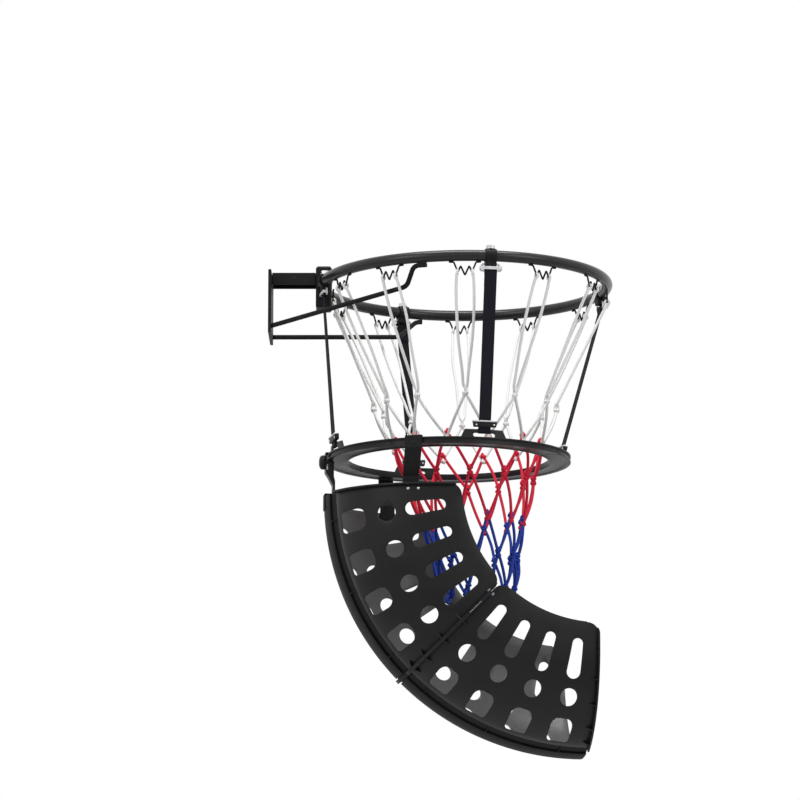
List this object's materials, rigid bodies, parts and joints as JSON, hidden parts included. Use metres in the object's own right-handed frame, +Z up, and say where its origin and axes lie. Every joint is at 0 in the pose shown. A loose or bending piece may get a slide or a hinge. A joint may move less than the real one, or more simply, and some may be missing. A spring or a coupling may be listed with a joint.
{
  "type": "basketball return net",
  "caption": "Basketball hoop with a cord net and a slotted curved chute that hangs on straps and a ring below it, swivels, and sends the ball out to one side.",
  "frame": {"origin": "centre of the mounting plate's back face, which goes against the backboard", "axes": "+X away from the backboard, +Y to the left of someone facing the backboard, +Z up"},
  "size_m": [0.5656, 0.4871, 0.806],
  "materials": {
    "black_steel": "satin",
    "silver_steel": "satin",
    "black_plastic": "satin",
    "black_webbing": "matte",
    "white_cord": "matte",
    "red_cord": "matte",
    "blue_cord": "matte"
  },
  "bodies": {
    "hoop": {"mounting_plate": "black_steel", "rear_arm": "black_steel", "rim_yoke": "black_steel", "brace_near": "black_steel", "brace_far": "black_steel", "rim_tube": "black_steel", "net_hook_01": "black_steel", "net_hook_02": "black_steel", "net_hook_03": "black_steel", "net_hook_04": "black_steel", "net_hook_05": "black_steel", "net_hook_06": "black_steel", "net_hook_07": "black_steel", "net_hook_08": "black_steel", "net_hook_09": "black_steel", "net_hook_10": "black_steel", "net_hook_11": "black_steel", "net_hook_12": "black_steel", "rim_clamp_1": "black_steel", "rim_clamp_2": "black_steel", "rim_clamp_3": "black_steel", "rim_clamp_4": "black_steel", "clamp_bolt_1": "silver_steel", "clamp_bolt_2": "silver_steel", "clamp_bolt_3": "silver_steel", "clamp_bolt_4": "silver_steel", "strap_loop_1": "silver_steel", "strap_loop_2": "silver_steel", "strap_loop_3": "silver_steel", "strap_loop_4": "silver_steel", "strap_1": "black_webbing", "strap_2": "black_webbing", "strap_3": "black_webbing", "strap_4": "black_webbing", "strap_slider_1": "black_plastic", "strap_slider_2": "black_plastic", "strap_slider_3": "black_plastic", "strap_slider_4": "black_plastic", "ring_segment_1": "black_plastic", "ring_segment_2": "black_plastic", "ring_segment_3": "black_plastic", "ring_segment_4": "black_plastic", "net_white": "white_cord", "net_red": "red_cord", "net_blue": "blue_cord"},
    "chute": {"hanger_near": "black_steel", "hanger_far": "black_steel", "hanger_rear": "black_plastic", "rear_screw": "silver_steel", "chute_upper_near": "black_plastic", "chute_upper_far": "black_plastic", "chute_upper_spine": "black_plastic", "chute_lower_near": "black_plastic", "chute_lower_far": "black_plastic", "chute_lower_spine": "black_plastic", "seam_bolt_near": "silver_steel", "seam_bolt_far": "silver_steel"},
    "lock_knob": {"lock_knob": "black_plastic"}
  },
  "joints": [
    {"name": "chute_swivel", "type": "hinge", "parent": "hoop", "child": "chute", "pos_m": [0.2946, 0, -0.2503], "axis": [0, 0, 1], "continuous": true},
    {"name": "lock_knob_turn", "type": "hinge", "parent": "chute", "child": "lock_knob", "pos_m": [0.0934, -0.0247, -0.2633], "axis": [-0.9925, -0.1219, 0], "continuous": true}
  ]
}
